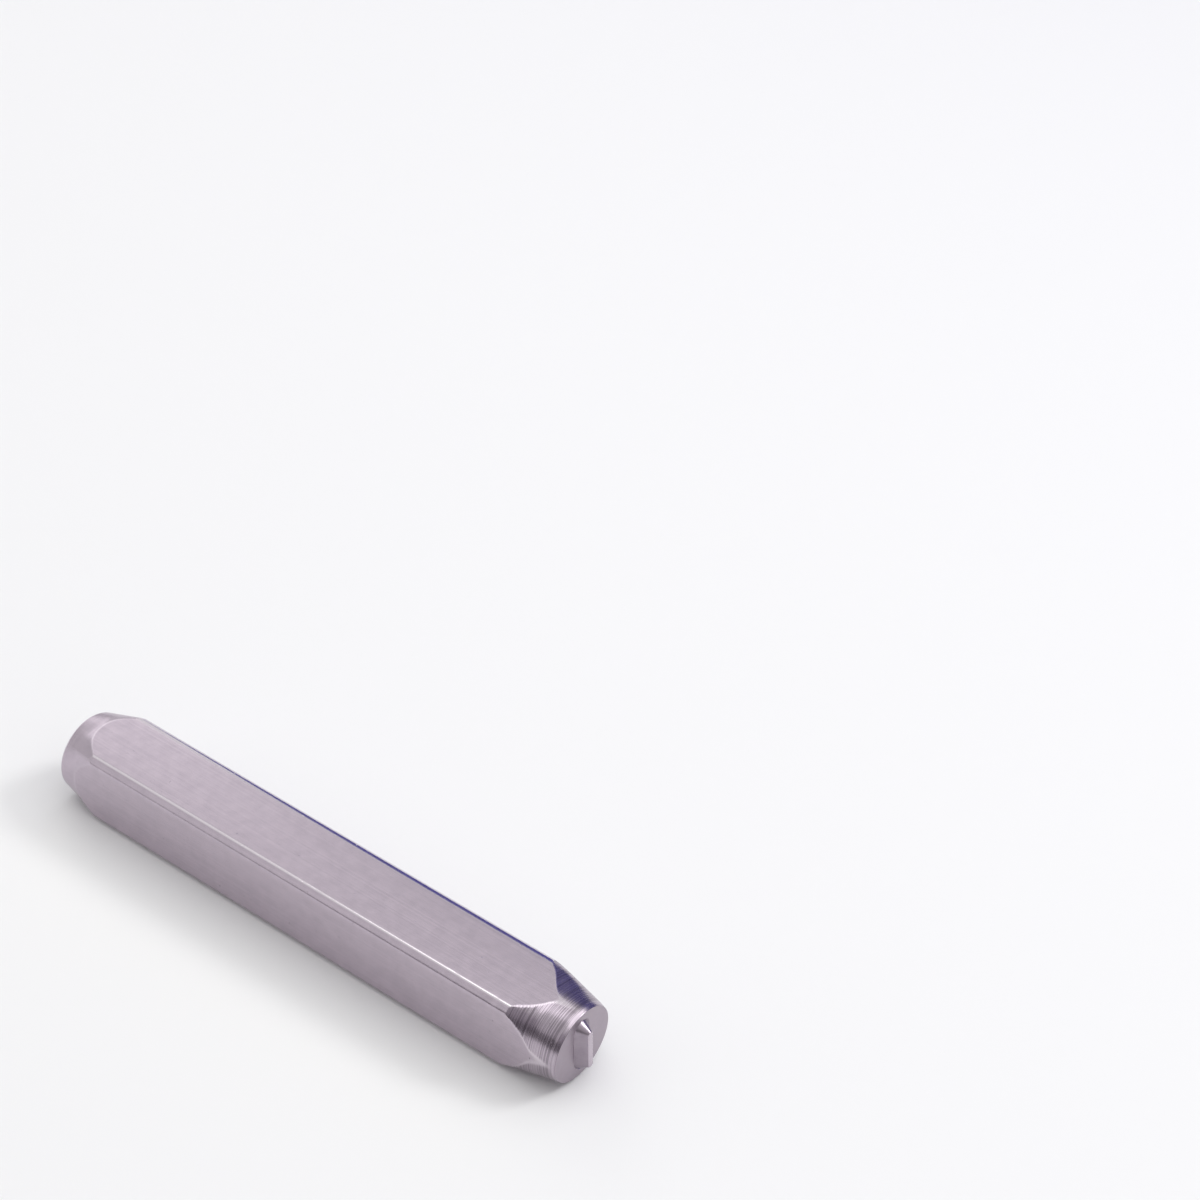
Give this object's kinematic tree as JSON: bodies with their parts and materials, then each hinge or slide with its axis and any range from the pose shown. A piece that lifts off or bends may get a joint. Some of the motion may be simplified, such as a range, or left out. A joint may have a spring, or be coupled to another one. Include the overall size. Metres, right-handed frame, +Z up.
{
  "type": "steel letter punch",
  "caption": "Square steel hand punch with chamfered corners and turned ends, carrying a raised straight stroke on its round face for stamping marks into metal.",
  "frame": {"origin": "midway along the punch, in the middle of its width, on the surface it lies on", "axes": "+X along the shank towards the character, +Z up from the flat it lies on, +Y across the shank"},
  "size_m": [0.0722, 0.0094, 0.0095],
  "materials": {
    "punch_steel": "drawn flats, turned ends, lightly worn"
  },
  "bodies": {
    "root": {"punch": "punch_steel"}
  },
  "joints": []
}
